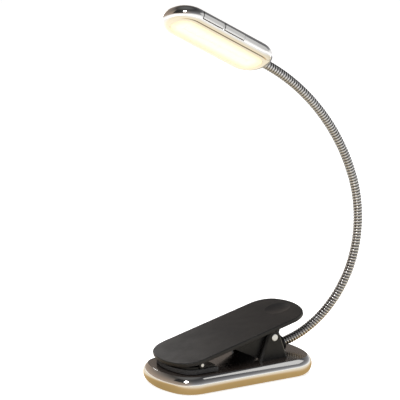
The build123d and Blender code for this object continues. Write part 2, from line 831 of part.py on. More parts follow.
for index, (length, turn) in enumerate(neck_arcs):
    last = index == len(neck_arcs) - 1
    x, z, heading = neck_joints[index]
    next_x, next_z, next_heading = neck_joints[index + 1]
    bore_stop = length - neck_radius - core_end_gap + core_gap
    with BuildPart() as link:
        neck_tube(index, neck_radius, joint_setback, length)
        if last:
            with BuildSketch(Plane(origin=(end_x, 0, end_z), z_dir=end_dir)):
                Circle(neck_radius)
            extrude(amount=neck_seat_depth - fit_gap)
            with BuildSketch(Plane(origin=(end_x, 0, end_z), z_dir=end_dir)):
                Circle(spigot_radius)
            extrude(amount=well_inset + spigot_length)
        else:
            with Locations(Plane(origin=(next_x, 0, next_z), z_dir=heading_dir(next_heading))):
                Sphere(neck_radius)
        with Locations(Plane(origin=(x, 0, z), z_dir=heading_dir(heading))):
            Sphere(neck_radius + joint_gap, mode=Mode.SUBTRACT)
        neck_tube(index, core_radius + core_gap, joint_setback, bore_stop, Mode.SUBTRACT)
    save(link, f"neck_link_{index + 1}")
    with BuildPart() as core:
        neck_tube(index, core_radius, neck_radius + core_end_gap, bore_stop - core_gap)
    save(core, f"neck_core_{index + 1}")

with BuildPart() as neck_clip:
    clip_start = well_inset + clip_gap
    clip_plane = Plane(
        origin=(end_x + clip_start * end_dir[0], 0, end_z + clip_start * end_dir[2]),
        x_dir=(0, 1, 0),
        z_dir=end_dir,
    )
    with BuildSketch(clip_plane):
        Circle(clip_radius)
        Circle(spigot_radius + running_gap, mode=Mode.SUBTRACT)
        with Locations((clip_radius / 2, 0)):
            Rectangle(clip_radius * 1.5, clip_mouth, mode=Mode.SUBTRACT)
    extrude(amount=clip_thickness)
save(neck_clip, "neck_clip")

# ------------------------------------------------------------------ light head
def key_sketch(x, grow):
    """A key's D-shaped section across the head at x, grown all round for its slot."""
    outer = head_half + (key_proud if grow == 0 else 2 * key_proud)
    low = key_low - grow
    high = key_high + grow
    middle_y = head_side + head_half
    with BuildSketch(cross_plane(head_frame, x)) as section:
        with Locations((middle_y, 0)):
            Circle(outer)
        with Locations((head_side + key_flange_face, (low + high) / 2)):
            Rectangle(
                2 * head_half + 2 * key_proud,
                high - low,
                align=(Align.MAX, Align.CENTER),
                mode=Mode.INTERSECT,
            )
    return section.sketch


with BuildPart() as head_band:
    with BuildLine(head_frame) as head_path:
        slab_lines(head_shape, well_inset)
    with BuildSketch(cross_plane(head_frame)):
        with BuildLine():
            Polyline(
                (head_side + head_half, head_half),
                (head_side + well_inset, head_half),
                (head_side + well_inset, well_floor),
                (head_side + lip_inset, well_floor),
                (head_side + lip_inset, -head_half),
                (head_side + head_half, -head_half),
            )
            ThreePointArc(
                (head_side + head_half, -head_half),
                (head_side, 0),
                (head_side + head_half, head_half),
            )
        make_face()
    sweep(path=head_path.wires()[0])
    for x in key_centres:
        slot = key_sketch(x - key_length / 2 - key_clearance, key_clearance)
        extrude(slot, amount=key_length + 2 * key_clearance, mode=Mode.SUBTRACT)
    for radius, depth in (
        (neck_radius + running_gap, neck_seat_depth),
        (spigot_radius + running_gap, 2 * well_inset),
    ):
        with BuildSketch(Plane(origin=(end_x, 0, end_z), z_dir=end_dir)):
            Circle(radius)
        extrude(amount=depth, mode=Mode.SUBTRACT)
save(head_band, "head_band")

with BuildPart() as head_top:
    with BuildSketch(head_frame.offset(head_top_bottom)):
        slab(head_shape, well_inset + fit_gap)
    extrude(amount=head_top_thickness)
    with BuildSketch(head_frame.offset(led_board_thickness / 2)):
        with GridLocations(2 * head_screw_x, 0, 2, 1):
            Circle(head_boss_radius)
            Circle(head_screw_radius + fixed_pin_gap, mode=Mode.SUBTRACT)
    extrude(amount=head_top_bottom - led_board_thickness / 2)
save(head_top, "head_top")

with BuildPart() as lens:
    with BuildSketch(head_frame.offset(well_floor)):
        slab(head_shape, well_inset + fit_gap)
    extrude(amount=lens_flange)
    with BuildSketch(head_frame.offset(well_floor)):
        slab(head_shape, lip_inset + fit_gap)
    extrude(amount=-(lip_thickness - lens_recess))
save(lens, "lens")

with BuildPart() as led_board:
    with BuildSketch(head_frame.offset(-led_board_thickness / 2)):
        slab(head_shape, led_board_inset)
        with GridLocations(2 * head_screw_x, 0, 2, 1):
            Circle(head_screw_radius + fit_gap, mode=Mode.SUBTRACT)
    extrude(amount=led_board_thickness)
save(led_board, "led_board")

with BuildPart() as leds:
    with BuildSketch(head_frame.offset(-led_board_thickness / 2)):
        with GridLocations(led_pitch_x, led_pitch_y, led_columns, led_rows):
            Rectangle(*led_size[:2])
    extrude(amount=-led_size[2])
save(leds, "leds")

with BuildPart() as head_screws:
    with BuildSketch(head_frame.offset(-led_board_thickness / 2)):
        with GridLocations(2 * head_screw_x, 0, 2, 1):
            Circle(head_screw_head_radius)
    extrude(amount=-head_screw_head_height)
    with BuildSketch(head_frame.offset(-led_board_thickness / 2)):
        with GridLocations(2 * head_screw_x, 0, 2, 1):
            Circle(head_screw_radius)
    extrude(amount=led_board_thickness + head_screw_reach)
save(head_screws, "head_screws")

for x, name in zip(key_centres, ("key_mode", "key_dim")):
    with BuildPart() as key:
        extrude(key_sketch(x - key_length / 2, 0), amount=key_length)
        flange_length = key_length + 2 * key_flange_side
        with BuildSketch(cross_plane(head_frame, x - flange_length / 2)):
            with Locations((head_side + key_flange_face, key_low)):
                Rectangle(
                    key_flange_thickness, key_flange_top - key_low, align=(Align.MIN, Align.MIN)
                )
        extrude(amount=flange_length)
    save(key, name)

with BuildPart() as switches:
    for x in key_centres:
        with BuildSketch(cross_plane(head_frame, x - switch_length / 2)):
            with Locations((head_side + switch_face, switch_low)):
                Rectangle(switch_depth, switch_high - switch_low, align=(Align.MIN, Align.MIN))
        extrude(amount=switch_length)
        plunger_face = Plane(
            head_frame.from_local_coords((x, head_side + switch_face, 0)),
            x_dir=head_frame.x_dir,
            z_dir=head_frame.y_dir * -1,
        )
        with BuildSketch(plunger_face):
            Circle(plunger_radius)
        extrude(amount=plunger_length - fit_gap / 2)
save(switches, "switches")

switch_board_start = key_centres[0] - key_length / 2 - switch_board_margin
switch_board_length = key_centres[1] - key_centres[0] + key_length + 2 * switch_board_margin
with BuildPart() as switch_board:
    with BuildSketch(cross_plane(head_frame, switch_board_start)):
        with Locations((head_side + switch_back, key_low)):
            Rectangle(
                switch_board_thickness, key_flange_top - key_low, align=(Align.MIN, Align.MIN)
            )
    extrude(amount=switch_board_length)
save(switch_board, "switch_board")

for x, z, heading in neck_joints:
    print(f"neck joint at x {x:.3f}, z {z:.3f}, heading {heading:.2f}")
print(f"pin z {pin_z:.4f}, jaw pin z {jaw_pin_z:.4f}")
print("head's Y axis", head_frame.y_dir)
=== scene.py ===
"""Looks of the clip-on reading lamp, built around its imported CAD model.  Metres, +Z up."""

import json
import math

import bmesh
import bpy
from mathutils import Matrix, Vector


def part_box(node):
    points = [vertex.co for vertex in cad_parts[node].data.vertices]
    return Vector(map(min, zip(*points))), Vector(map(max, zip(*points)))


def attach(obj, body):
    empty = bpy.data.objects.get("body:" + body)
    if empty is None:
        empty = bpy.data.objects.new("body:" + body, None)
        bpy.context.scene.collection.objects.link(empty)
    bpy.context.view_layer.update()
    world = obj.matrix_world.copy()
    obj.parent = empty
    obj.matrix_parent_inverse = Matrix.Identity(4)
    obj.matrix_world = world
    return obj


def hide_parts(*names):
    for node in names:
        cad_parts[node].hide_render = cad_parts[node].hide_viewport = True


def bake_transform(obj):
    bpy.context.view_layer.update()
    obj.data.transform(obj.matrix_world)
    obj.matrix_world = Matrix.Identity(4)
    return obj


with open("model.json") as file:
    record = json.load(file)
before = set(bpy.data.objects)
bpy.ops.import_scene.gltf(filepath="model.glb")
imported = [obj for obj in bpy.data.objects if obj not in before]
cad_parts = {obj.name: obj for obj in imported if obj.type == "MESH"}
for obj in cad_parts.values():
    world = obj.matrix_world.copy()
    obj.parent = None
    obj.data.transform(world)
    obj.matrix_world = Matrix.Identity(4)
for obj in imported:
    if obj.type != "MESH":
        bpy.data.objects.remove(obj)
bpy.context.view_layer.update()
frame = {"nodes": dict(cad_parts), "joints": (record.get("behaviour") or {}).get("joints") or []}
nodes = frame["nodes"]
joints = {joint["name"]: joint for joint in frame["joints"]}
MM = 0.001


# ---------------------------------------------------------------- material helpers
def colour_ramp(tree, fac, stops):
    """A ramp of (place, colour) stops, with places from 0 to 1 along fac."""
    made = tree.nodes.new("ShaderNodeValToRGB")
    elements = made.color_ramp.elements
    while len(elements) < len(stops):
        elements.new(1.0)
    for element, (place, colour) in zip(elements, stops):
        element.position = place
        element.color = (*colour, 1.0)
    tree.links.new(fac, made.inputs["Fac"])
    return made.outputs["Color"]


class Shader:
    """One node material: a Principled shader and short calls that feed its sockets."""

    def __init__(self, name, metallic=0.0, **sockets):
        self.material = bpy.data.materials.new(name + "_finish")
        self.material.use_nodes = True
        self.tree = self.material.node_tree
        self.bsdf = self.tree.nodes["Principled BSDF"]
        self.bsdf.inputs["Metallic"].default_value = metallic
        for socket, value in sockets.items():
            self.bsdf.inputs[socket.replace("_", " ")].default_value = value
        self.height = None

    def node(self, kind, **settings):
        """A new node; a setting is an input's value, or else a property."""
        made = self.tree.nodes.new(kind)
        for key, value in settings.items():
            if key in made.inputs:
                made.inputs[key].default_value = value
            else:
                setattr(made, key, value)
        return made

    def link(self, out, into):
        self.tree.links.new(out, into)

    def place(self, scale=(1, 1, 1)):
        """The object's own coordinates in metres, stretched by scale."""
        coordinates = self.node("ShaderNodeTexCoord")
        mapping = self.node("ShaderNodeMapping", Scale=scale)
        self.link(coordinates.outputs["Object"], mapping.inputs["Vector"])
        return mapping.outputs["Vector"]

    def noise(self, scale, detail=4.0, stretch=(1, 1, 1)):
        """Cloudy pattern from 0 to 1; scale is features per metre."""
        texture = self.node("ShaderNodeTexNoise", Scale=scale, Detail=detail)
        self.link(self.place(stretch), texture.inputs["Vector"])
        return texture.outputs["Fac"]

    def cells(self, scale, feature="F1"):
        """Distance pattern of round cells or of their edges."""
        texture = self.node("ShaderNodeTexVoronoi", Scale=scale, feature=feature)
        self.link(self.place(), texture.inputs["Vector"])
        return texture.outputs["Distance"]

    def ramp(self, fac, *stops):
        """Colours at places from 0 to 1 along fac."""
        return colour_ramp(self.tree, fac, stops)

    def span(self, fac, low, high, start=0.3, stop=0.7):
        """fac between start and stop becomes a number between low and high."""
        made = self.node("ShaderNodeMapRange")
        for key, value in (
            ("From Min", start),
            ("From Max", stop),
            ("To Min", low),
            ("To Max", high),
        ):
            made.inputs[key].default_value = value
        self.link(fac, made.inputs["Value"])
        return made.outputs["Result"]

    def colour(self, out):
        self.link(out, self.bsdf.inputs["Base Color"])

    def roughness(self, out):
        self.link(out, self.bsdf.inputs["Roughness"])

    def bump(self, out, distance):
        """Relief of a real height in metres; calls add up."""
        made = self.node("ShaderNodeBump", Strength=1.0, Distance=distance)
        self.link(out, made.inputs["Height"])
        if self.height is not None:
            self.link(self.height, made.inputs["Normal"])
        self.height = made.outputs["Normal"]
        self.link(self.height, self.bsdf.inputs["Normal"])


def metal(name, dark, light, rough, smear=25.0, pits=0.0, **sockets):
    """Bare or plated metal: colour and polish that vary with handling, and fine pits."""
    shader = Shader(name, metallic=1.0, **sockets)
    shader.colour(shader.ramp(shader.noise(smear), (0.3, dark), (0.7, light)))
    shader.roughness(shader.span(shader.noise(smear * 2.3, 8.0), *rough))
    if pits:
        shader.bump(shader.noise(2500.0, 3.0), pits)
    return shader


def plastic(name, dark, light, rough, grain=0.0, grain_scale=2600.0, **sockets):
    """Moulded plastic or rubber: a slightly uneven colour and a fine moulded grain."""
    shader = Shader(name, **sockets)
    shader.colour(shader.ramp(shader.noise(60.0, 6.0), (0.3, dark), (0.7, light)))
    shader.roughness(shader.span(shader.noise(140.0, 5.0), *rough))
    if grain:
        shader.bump(shader.noise(grain_scale, 2.0), grain)
    return shader


# ---------------------------------------------------------------- materials, one per slot
# colours are linear; a pair of numbers after two colours is the range of roughness
# SPILL_STRENGTH is the strength of the painted cream glow on the chrome lip; the lens and the LED
# are lit parts
SPILL_STRENGTH = 0.42
LENS_STRENGTH = 0.70
LED_STRENGTH = 2.0


def chrome():
    """Bright plating, with a painted cream glow on the lip beside the lit lens that stands in for
    the light it spills.
    """
    shader = metal("chrome", (0.80, 0.79, 0.775), (0.86, 0.855, 0.84), (0.045, 0.09))
    # painted glow: the chrome emits cream light as strong as its spill number
    spill = shader.node("ShaderNodeAttribute", attribute_name="spill")
    shader.bsdf.inputs["Emission Color"].default_value = (1.0, 0.88, 0.62, 1.0)
    strength = shader.span(spill.outputs["Fac"], 0.0, SPILL_STRENGTH, 0.0, 1.0)
    shader.link(strength, shader.bsdf.inputs["Emission Strength"])
    return shader


def gloss_black():
    """Brown-black glossy plastic of the base's top and the head's back."""
    shader = plastic(
        "gloss_black",
        (0.018, 0.014, 0.012),
        (0.028, 0.022, 0.019),
        (0.14, 0.24),
        Coat_Weight=0.5,
        Coat_Roughness=0.12,
    )
    shader.bump(shader.noise(45.0, 2.0), 0.000015)
    return shader


def matte_black():
    """Satin black plastic of the lever, the posts and the jaw."""
    return plastic(
        "matte_black",
        (0.008, 0.008, 0.0085),
        (0.013, 0.0125, 0.012),
        (0.34, 0.44),
        grain=0.00002,
        Specular_IOR_Level=0.28,
    )


def grip_rubber():
    return plastic(
        "grip_rubber", (0.022, 0.022, 0.023), (0.042, 0.042, 0.042), (0.70, 0.88), 0.00006, 1500.0
    )


def neck_steel():
    """Polished spiral tube: its colour is painted darker down in the groove between two turns, as
    painted shade.
    """
    shader = Shader("neck_steel", metallic=1.0)
    depth = shader.node("ShaderNodeAttribute", attribute_name="ridge")
    wear = shader.noise(90.0, 6.0)
    # painted shade: from the ridge tops down into the groove the colour darkens to near black
    groove_shaded_colour = shader.ramp(
        depth.outputs["Fac"],
        (0.0, (0.05, 0.047, 0.045)),
        (0.4, (0.25, 0.245, 0.24)),
        (0.9, (0.58, 0.575, 0.575)),
        (1.0, (0.74, 0.74, 0.74)),
    )
    tint = shader.ramp(wear, (0.3, (0.85, 0.84, 0.83)), (0.7, (1.0, 1.0, 1.0)))
    mixed = shader.node("ShaderNodeMix", data_type="RGBA", blend_type="MULTIPLY")
    mixed.inputs["Factor"].default_value = 1.0
    shader.link(groove_shaded_colour, mixed.inputs["A"])
    shader.link(tint, mixed.inputs["B"])
    shader.colour(mixed.outputs["Result"])
    shader.roughness(shader.span(wear, 0.20, 0.32))
    return shader


def pin_steel():
    shader = metal("pin_steel", (0.76, 0.80, 0.86), (0.84, 0.88, 0.93), (0.30, 0.42), 180.0)
    shader.bump(shader.noise(1200.0, 2.0, (1.0, 0.08, 1.0)), 0.000006)
    return shader


def spring_steel():
    shader = metal("spring_steel", (0.42, 0.41, 0.40), (0.58, 0.57, 0.56), (0.22, 0.38), 300.0)
    shader.bump(shader.noise(3000.0, 2.0), 0.000004)
    return shader


def core_metal():
    return metal("core_metal", (0.46, 0.45, 0.44), (0.60, 0.59, 0.58), (0.30, 0.48), 220.0, 0.00001)


def cell_pouch():
    shader = metal("cell_pouch", (0.55, 0.56, 0.58), (0.70, 0.71, 0.73), (0.30, 0.45), 70.0)
    shader.bump(shader.noise(160.0, 3.0), 0.00012)
    return shader


def foam_tape():
    shader = plastic("foam_tape", (0.10, 0.10, 0.11), (0.20, 0.20, 0.21), (0.85, 0.95))
    shader.bump(shader.cells(1800.0), 0.00015)
    return shader


def circuit_board():
    """Green solder mask over copper tracks."""
    shader = Shader("circuit_board", Coat_Weight=0.3)
    tracks = shader.span(shader.cells(260.0, "DISTANCE_TO_EDGE"), 0.0, 1.0, 0.04, 0.10)
    shader.colour(shader.ramp(tracks, (0.2, (0.02, 0.17, 0.06)), (0.8, (0.008, 0.07, 0.03))))
    shader.roughness(shader.span(shader.noise(120.0), 0.30, 0.42))
    shader.bump(tracks, 0.00003)
    return shader


def white_board():
    shader = plastic("white_board", (0.74, 0.74, 0.71), (0.84, 0.84, 0.82), (0.32, 0.46))
    shader.bump(shader.cells(300.0, "DISTANCE_TO_EDGE"), 0.00003)
    return shader


def chip_black():
    return plastic("chip_black", (0.02, 0.02, 0.021), (0.045, 0.045, 0.046), (0.45, 0.62), 0.00003)


def wire_red():
    return plastic("wire_red", (0.42, 0.02, 0.02), (0.56, 0.035, 0.03), (0.38, 0.5), 0.00002)


def led_yellow():
    shader = plastic("led_yellow", (0.85, 0.62, 0.10), (0.95, 0.74, 0.16), (0.35, 0.5), 0.00001)
    shader.bsdf.inputs["Emission Color"].default_value = (1.0, 0.72, 0.30, 1.0)
    shader.bsdf.inputs["Emission Strength"].default_value = LED_STRENGTH
    return shader


def light_pipe():
    return plastic(
        "light_pipe", (0.72, 0.74, 0.72), (0.84, 0.86, 0.84), (0.2, 0.34), 0.00001, Coat_Weight=0.4
    )


def opal_lens():
    """Lit opal cover: bright over the lights and yellower towards its rim."""
    shader = Shader("opal_lens", Roughness=0.35)
    edge = shader.node("ShaderNodeAttribute", attribute_name="rim")
    cloud = shader.noise(500.0, 3.0)
    shader.colour(shader.ramp(cloud, (0.3, (0.28, 0.265, 0.21)), (0.7, (0.32, 0.305, 0.25))))
    glow = shader.ramp(
        edge.outputs["Fac"],
        (0.0, (1.0, 0.97, 0.85)),
        (0.35, (0.98, 0.90, 0.62)),
        (1.0, (0.93, 0.76, 0.42)),
    )
    shader.link(glow, shader.bsdf.inputs["Emission Color"])
    shader.bsdf.inputs["Emission Strength"].default_value = LENS_STRENGTH
    shader.bump(cloud, 0.000004)
    return shader


# each maker is named after its slot
makers = (
    chrome, gloss_black, matte_black, grip_rubber, neck_steel, pin_steel, spring_steel,
    core_metal, cell_pouch, foam_tape, circuit_board, white_board, chip_black, wire_red,
    led_yellow, opal_lens, light_pipe,
)
finishes = {make.__name__: make().material for make in makers}
for node in nodes.values():
    node.material_slots[0].material = finishes[node.data.materials[0].name]


# ---------------------------------------------------------------- mesh helpers
def point_data(target, name, values):
    """One number for each vertex, read by the piece's material."""
    data = target.data.attributes.new(name, "FLOAT", "POINT")
    data.data.foreach_set("value", values)


def piece(name, vertices, faces, slot):
    """A mesh object with its slot's finish; normals face out."""
    mesh = bpy.data.meshes.new(name)
    mesh.from_pydata([tuple(v) for v in vertices], [], faces)
    mesh.update()
    made = bpy.data.objects.new(name, mesh)
    bpy.context.scene.collection.objects.link(made)
    work = bmesh.new()
    work.from_mesh(mesh)
    bmesh.ops.recalc_face_normals(work, faces=work.faces)
    work.to_mesh(mesh)
    work.free()
    for polygon in mesh.polygons:
        polygon.use_smooth = True
    mesh.materials.append(finishes[slot])
    return made


def grid_faces(rows, columns, close_rows=False):
    """Quads between rows of vertices that each run once round a closed loop."""
    faces = []
    for row in range(rows if close_rows else rows - 1):
        next_row = (row + 1) % rows
        for column in range(columns):
            next_column = (column + 1) % columns
            faces.append(
                (
                    row * columns + column,
                    row * columns + next_column,
                    next_row * columns + next_column,
                    next_row * columns + column,
                )
            )
    return faces


# ---------------------------------------------------------------- gooseneck
NECK_RADIUS = 2.4 * MM
TURN_PITCH = 1.55 * MM
TURN_STEPS = 10
ROUND_STEPS = 28
GROOVE_DEPTH = 0.32 * MM
ROUND_SHARE = 0.74
WEDGE_HEIGHT = 0.30
BLEND_REACH = 12.5 * MM
STUB = 7.4 * MM  # neck before the first joint
SEAT = 2.4 * MM  # neck inside the head
JOINTS_ALONG_NECK = (
    "neck_bend_1", "neck_sway_2", "neck_bend_3", "neck_sway_4", "neck_bend_5", "head_twist",
)


def neck_arcs():
    """(start, heading, length, turn) of each length of the neck, from its joints' places."""
    places = [Vector(joints[name]["pos_m"]) for name in JOINTS_ALONG_NECK]
    # the last joint's axis lies along the neck, so the neck's heading there is known
    axis = Vector(joints["head_twist"]["axis"])
    heading = math.atan2(axis.z, axis.x)
    arcs = []
    for start, end in zip(reversed(places[:-1]), reversed(places[1:])):
        chord = end - start
        sight = math.atan2(chord.z, chord.x)
        turn = 2 * (heading - sight)
        length = chord.length * (turn / 2) / math.sin(turn / 2)
        heading -= turn
        arcs.insert(0, (start, heading, length, turn))
    return arcs


arcs = neck_arcs()
end_place = Vector(joints["head_twist"]["pos_m"])
end_axis = Vector(joints["head_twist"]["axis"])


def neck_point(distance):
    """Place and heading on the neck's middle line, from the first joint."""
    start, heading, length, turn = arcs[0]
    if distance < 0:  # straight stub below the first joint
        along = Vector((math.cos(heading), 0, math.sin(heading)))
        return start + along * distance, heading
    for start, heading, length, turn in arcs:
        if distance <= length:
            break
        distance -= length
    else:
        along = Vector((end_axis.x, 0, end_axis.z))
        return end_place + along * distance, math.atan2(end_axis.z, end_axis.x)
    bend = length / turn
    now = heading + turn * distance / length
    return (
        start
        + Vector(
            (
                bend * (math.sin(now) - math.sin(heading)),
                0,
                -bend * (math.cos(now) - math.cos(heading)),
            )
        ),
        now,
    )


def turn_profile(phase):
    """Height from 0 to 1 across one turn: a round wire, then a narrow wedge wire."""
    if phase < ROUND_SHARE:
        across = 2 * phase / ROUND_SHARE - 1
        return math.sqrt(max(0.0, 1 - across**2))
    across = 2 * (phase - ROUND_SHARE) / (1 - ROUND_SHARE) - 1
    return WEDGE_HEIGHT * (1 - abs(across))


def neck_sleeve(name, start, stop):
    """Spiral tube from start to stop along the neck; its turns run on from sleeve to sleeve."""
    first = round(start / TURN_PITCH * TURN_STEPS)
    last = round(stop / TURN_PITCH * TURN_STEPS)
    vertices, ridges = [], []
    for row in range(first, last + 1):
        centre, heading = neck_point(row * TURN_PITCH / TURN_STEPS)
        outward = Vector((-math.sin(heading), 0, math.cos(heading)))
        sideways = Vector((0, 1, 0))
        for column in range(ROUND_STEPS):
            angle = 2 * math.pi * column / ROUND_STEPS
            ridge = turn_profile((row / TURN_STEPS + column / ROUND_STEPS) % 1.0)
            radius = NECK_RADIUS - GROOVE_DEPTH * (1 - ridge)
            vertices.append(
                centre + (outward * math.cos(angle) + sideways * math.sin(angle)) * radius
            )
            ridges.append(ridge)
    rows = last - first + 1
    sleeve = piece(name, vertices, grid_faces(rows, ROUND_STEPS), "neck_steel")
    point_data(sleeve, "ridge", ridges)
    return sleeve


def gooseneck():
    """A sleeve across each bending joint, from mid-length to mid-length, and one at the top."""
    joint_distances = [0.0]
    for arc in arcs:
        joint_distances.append(joint_distances[-1] + arc[2])
    cuts = [-STUB]
    cuts += [(a + b) / 2 for a, b in zip(joint_distances[:-1], joint_distances[1:])]
    for index in range(5):
        sleeve = neck_sleeve(f"neck_sleeve_{index + 1}", cuts[index], cuts[index + 1])
        joint_at = joint_distances[index]
        reach_back = min(BLEND_REACH, STUB - MM) if index == 0 else BLEND_REACH
        neck_point(joint_at - reach_back)[0]
        neck_point(joint_at + BLEND_REACH)[0]
        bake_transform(sleeve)
        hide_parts("neck_root" if index == 0 else f"neck_link_{index}")
    top_sleeve = neck_sleeve("neck_sleeve_6", cuts[5], joint_distances[5] + SEAT)
    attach(top_sleeve, "neck_5")
    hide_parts("neck_link_5")


gooseneck()


# ---------------------------------------------------------------- bands
# a band's outline is (length, width, radius of the wide end arcs, corner radius)
BASE_END_RADIUS = 42.0 * MM
BASE_CORNER_RADIUS = 14.0 * MM
BASE_BULGE = 2.3 * MM
BASE_WALL = 2.3 * MM
BASE_RIM = 0.12 * MM
BASE_SEAT = 0.9 * MM  # the wall is this much thicker below the glossy top
BASE_BEVEL = 0.3 * MM
TOP_THICKNESS = 1.8 * MM
USB_GAP = 0.2 * MM
LIGHT_GAP = 0.1 * MM
REAR_CUT_START = 9.0 * MM  # inside the rear end
REAR_CUT_DEPTH = 12.0 * MM
SAME_FACE = 0.985  # cosine between a face's normal and the swollen side's

base_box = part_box("base_band")
base_size = base_box[1] - base_box[0]
base_shape = (base_size.x, base_size.y, BASE_END_RADIUS, BASE_CORNER_RADIUS)
HEAD_LENGTH = 64.0 * MM
HEAD_WIDTH = 25.0 * MM
HEAD_HEIGHT = 7.4 * MM
HEAD_END_RADIUS = 18.0 * MM
HEAD_CORNER_RADIUS = 11.0 * MM
head_shape = (HEAD_LENGTH, HEAD_WIDTH, HEAD_END_RADIUS, HEAD_CORNER_RADIUS)


def corner_of(shape):
    """(end arc's centre in X, corner arc's centre in X and Y, angle where the two meet)."""
    length, width, end_radius, corner_radius = shape
    end_x = length / 2 - end_radius
    corner_y = width / 2 - corner_radius
    corner_x = end_x + math.sqrt((end_radius - corner_radius) ** 2 - corner_y**2)
    return end_x, corner_x, corner_y, math.atan2(corner_y, corner_x - end_x)


def slab_outline(shape, inset, steps=14):
    """Points once round an outline: straight sides, corner arcs and wide end arcs."""
    length, width, end_radius, corner_radius = shape
    end_x, corner_x, corner_y, lean = corner_of(shape)
    side = width / 2 - inset
    half = [(corner_x * (step / steps - 1), -side) for step in range(2 * steps)]
    spans = (
        (corner_x, -corner_y, corner_radius, -math.pi / 2, -lean),
        (end_x, 0, end_radius, -lean, lean),
        (corner_x, corner_y, corner_radius, lean, math.pi / 2),
    )
    for x, y, radius, begin, stop in spans:
        for step in range(steps):
            angle = begin + (stop - begin) * step / steps
            reach = radius - inset
            half.append((x + reach * math.cos(angle), y + reach * math.sin(angle)))
    return half + [(-x, -y) for x, y in half]


def outline_normal(shape, x, y):
    """Outward direction in plan at a point near an outline."""
    end_x, corner_x, corner_y, lean = corner_of(shape)
    if abs(x) <= corner_x:
        return Vector((0, math.copysign(1, y), 0))
    from_end = Vector((abs(x) - end_x, abs(y), 0))
    if math.atan2(from_end.y, from_end.x) > lean:
        from_end = Vector((abs(x) - corner_x, abs(y) - corner_y, 0))
    from_end.normalize()
    return Vector((math.copysign(from_end.x, x), math.copysign(from_end.y, y), 0))


def round_side(bulge, low, high, steps=22):
    """Profile points (inset, z) of a band's swollen side, and its arc's (radius, middle)."""
    middle = (low + high) / 2
    half = (high - low) / 2
    radius = (half**2 + bulge**2) / (2 * bulge)
    spread = math.asin(min(1.0, half / radius))
    points = []
    for step in range(steps + 1):
        angle = spread * (1 - 2 * step / steps)
        points.append((radius * (1 - math.cos(angle)), middle + radius * math.sin(angle)))
    return points, radius, middle


def swept(name, shape, profile, to_world, steps):
    """Closed ring: a closed profile of (inset, z) points carried round an outline."""
    vertices = []
    for inset, z in profile:
        vertices += [to_world @ Vector((x, y, z)) for x, y in slab_outline(shape, inset, steps)]
    columns = len(slab_outline(shape, 0.0, steps))
    faces = grid_faces(len(profile), columns, close_rows=True)
    return piece(name, vertices, faces, "chrome")


def cut_away(target, cutters):
    """Subtracts each cutter from the target's own mesh and removes the cutter."""
    for cutter in cutters:
        modifier = target.modifiers.new("cut", "BOOLEAN")
        modifier.object = cutter
        modifier.operation = "DIFFERENCE"
        modifier.solver = "EXACT"
        graph = bpy.context.evaluated_depsgraph_get()
        cut = bpy.data.meshes.new_from_object(target.evaluated_get(graph))
        target.modifiers.clear()
        target.data = cut
        bpy.data.objects.remove(cutter)
    while len(target.data.materials) > 1:
        target.data.materials.pop()


def polish(target, shape, side_radius, side_middle, to_world):
    """Sets the exact normals of a band's swollen side, so that its reflections run smooth."""
    mesh = target.data
    to_local = to_world.inverted()
    turn = to_world.to_3x3()
    normals = []
    for polygon in mesh.polygons:
        for index in polygon.loop_indices:
            place = to_local @ mesh.vertices[mesh.loops[index].vertex_index].co
            rise = max(-1.0, min(1.0, (place.z - side_middle) / side_radius))
            exact = outline_normal(shape, place.x, place.y) * math.sqrt(1 - rise**2)
            exact = turn @ (exact + Vector((0, 0, rise)))
            on_side = polygon.normal.dot(exact) > SAME_FACE
            normals.append(exact if on_side else polygon.normal)
    mesh.normals_split_custom_set(normals)


def prism(name, outline, direction, start, depth, axes):
    """Closed prism for cutting: an outline of (a, b) points on two axes, pushed along a third."""
    across, along = axes
    vertices = [start + across * a + along * b for a, b in outline]
    vertices += [v + direction * depth for v in vertices]
    count = len(outline)
    faces = [tuple(range(count)), tuple(range(2 * count - 1, count - 1, -1))]
    for index in range(count):
        after = (index + 1) % count
        faces.append((index, after, count + after, count + index))
    return piece(name, vertices, faces, "chrome")


def stadium(width, height, steps=10):
    """Slot outline with round ends, centred on zero."""
    radius = height / 2
    points = []
    for side, begin in ((1, -math.pi / 2), (-1, math.pi / 2)):
        for step in range(steps + 1):
            angle = begin + math.pi * step / steps
            points.append(
                (side * (width / 2 - radius) + radius * math.cos(angle), radius * math.sin(angle))
            )
    return points


def base_ring():
    """Chrome band round the base, with its charging slot and light hole at the rear."""
    low, high = base_box[0].z, base_box[1].z
    side, radius, middle = round_side(BASE_BULGE, low, high)
    inner = [
        (BASE_WALL + BASE_RIM * 2, low),
        (BASE_WALL + BASE_SEAT, low + BASE_BEVEL),
        (BASE_WALL + BASE_SEAT, high - TOP_THICKNESS),
        (BASE_WALL, high - TOP_THICKNESS),
        (BASE_WALL, high - BASE_RIM),
    ]
    identity = Matrix.Identity(4)
    ring = swept("base_ring", base_shape, side + inner, identity, 18)
    shell_low, shell_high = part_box("usb_shell")
    slot_size = shell_high - shell_low + Vector((0, USB_GAP, USB_GAP))
    slot_middle = (shell_high + shell_low) / 2
    light_low, light_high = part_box("charge_light")
    light_middle = (light_low + light_high) / 2
    light_size = light_high.z - light_low.z + LIGHT_GAP
    cutters = []
    for name, place, outline in (
        ("usb_cutter", slot_middle, stadium(slot_size.y, slot_size.z)),
        ("light_cutter", light_middle, stadium(light_size, light_size)),
    ):
        start = Vector((base_box[1].x - REAR_CUT_START, place.y, place.z))
        axes = (Vector((0, 1, 0)), Vector((0, 0, 1)))
        cutters.append(prism(name, outline, Vector((1, 0, 0)), start, REAR_CUT_DEPTH, axes))
    cut_away(ring, cutters)
    polish(ring, base_shape, radius, middle, identity)
    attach(ring, "base")
    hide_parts("base_band")


# ---------------------------------------------------------------- head
def head_matrix():
    """The head's own axes in the row frame: X towards the neck, light on its -Z side."""
    key_axis = Vector(joints["mode_key_press"]["axis"])
    x_axis = -Vector(joints["head_twist"]["axis"])
    z_axis = x_axis.cross(key_axis)
    middle = end_place - x_axis * (HEAD_LENGTH / 2)
    made = Matrix((x_axis, key_axis, z_axis)).transposed().to_4x4()
    made.translation = middle
    return made


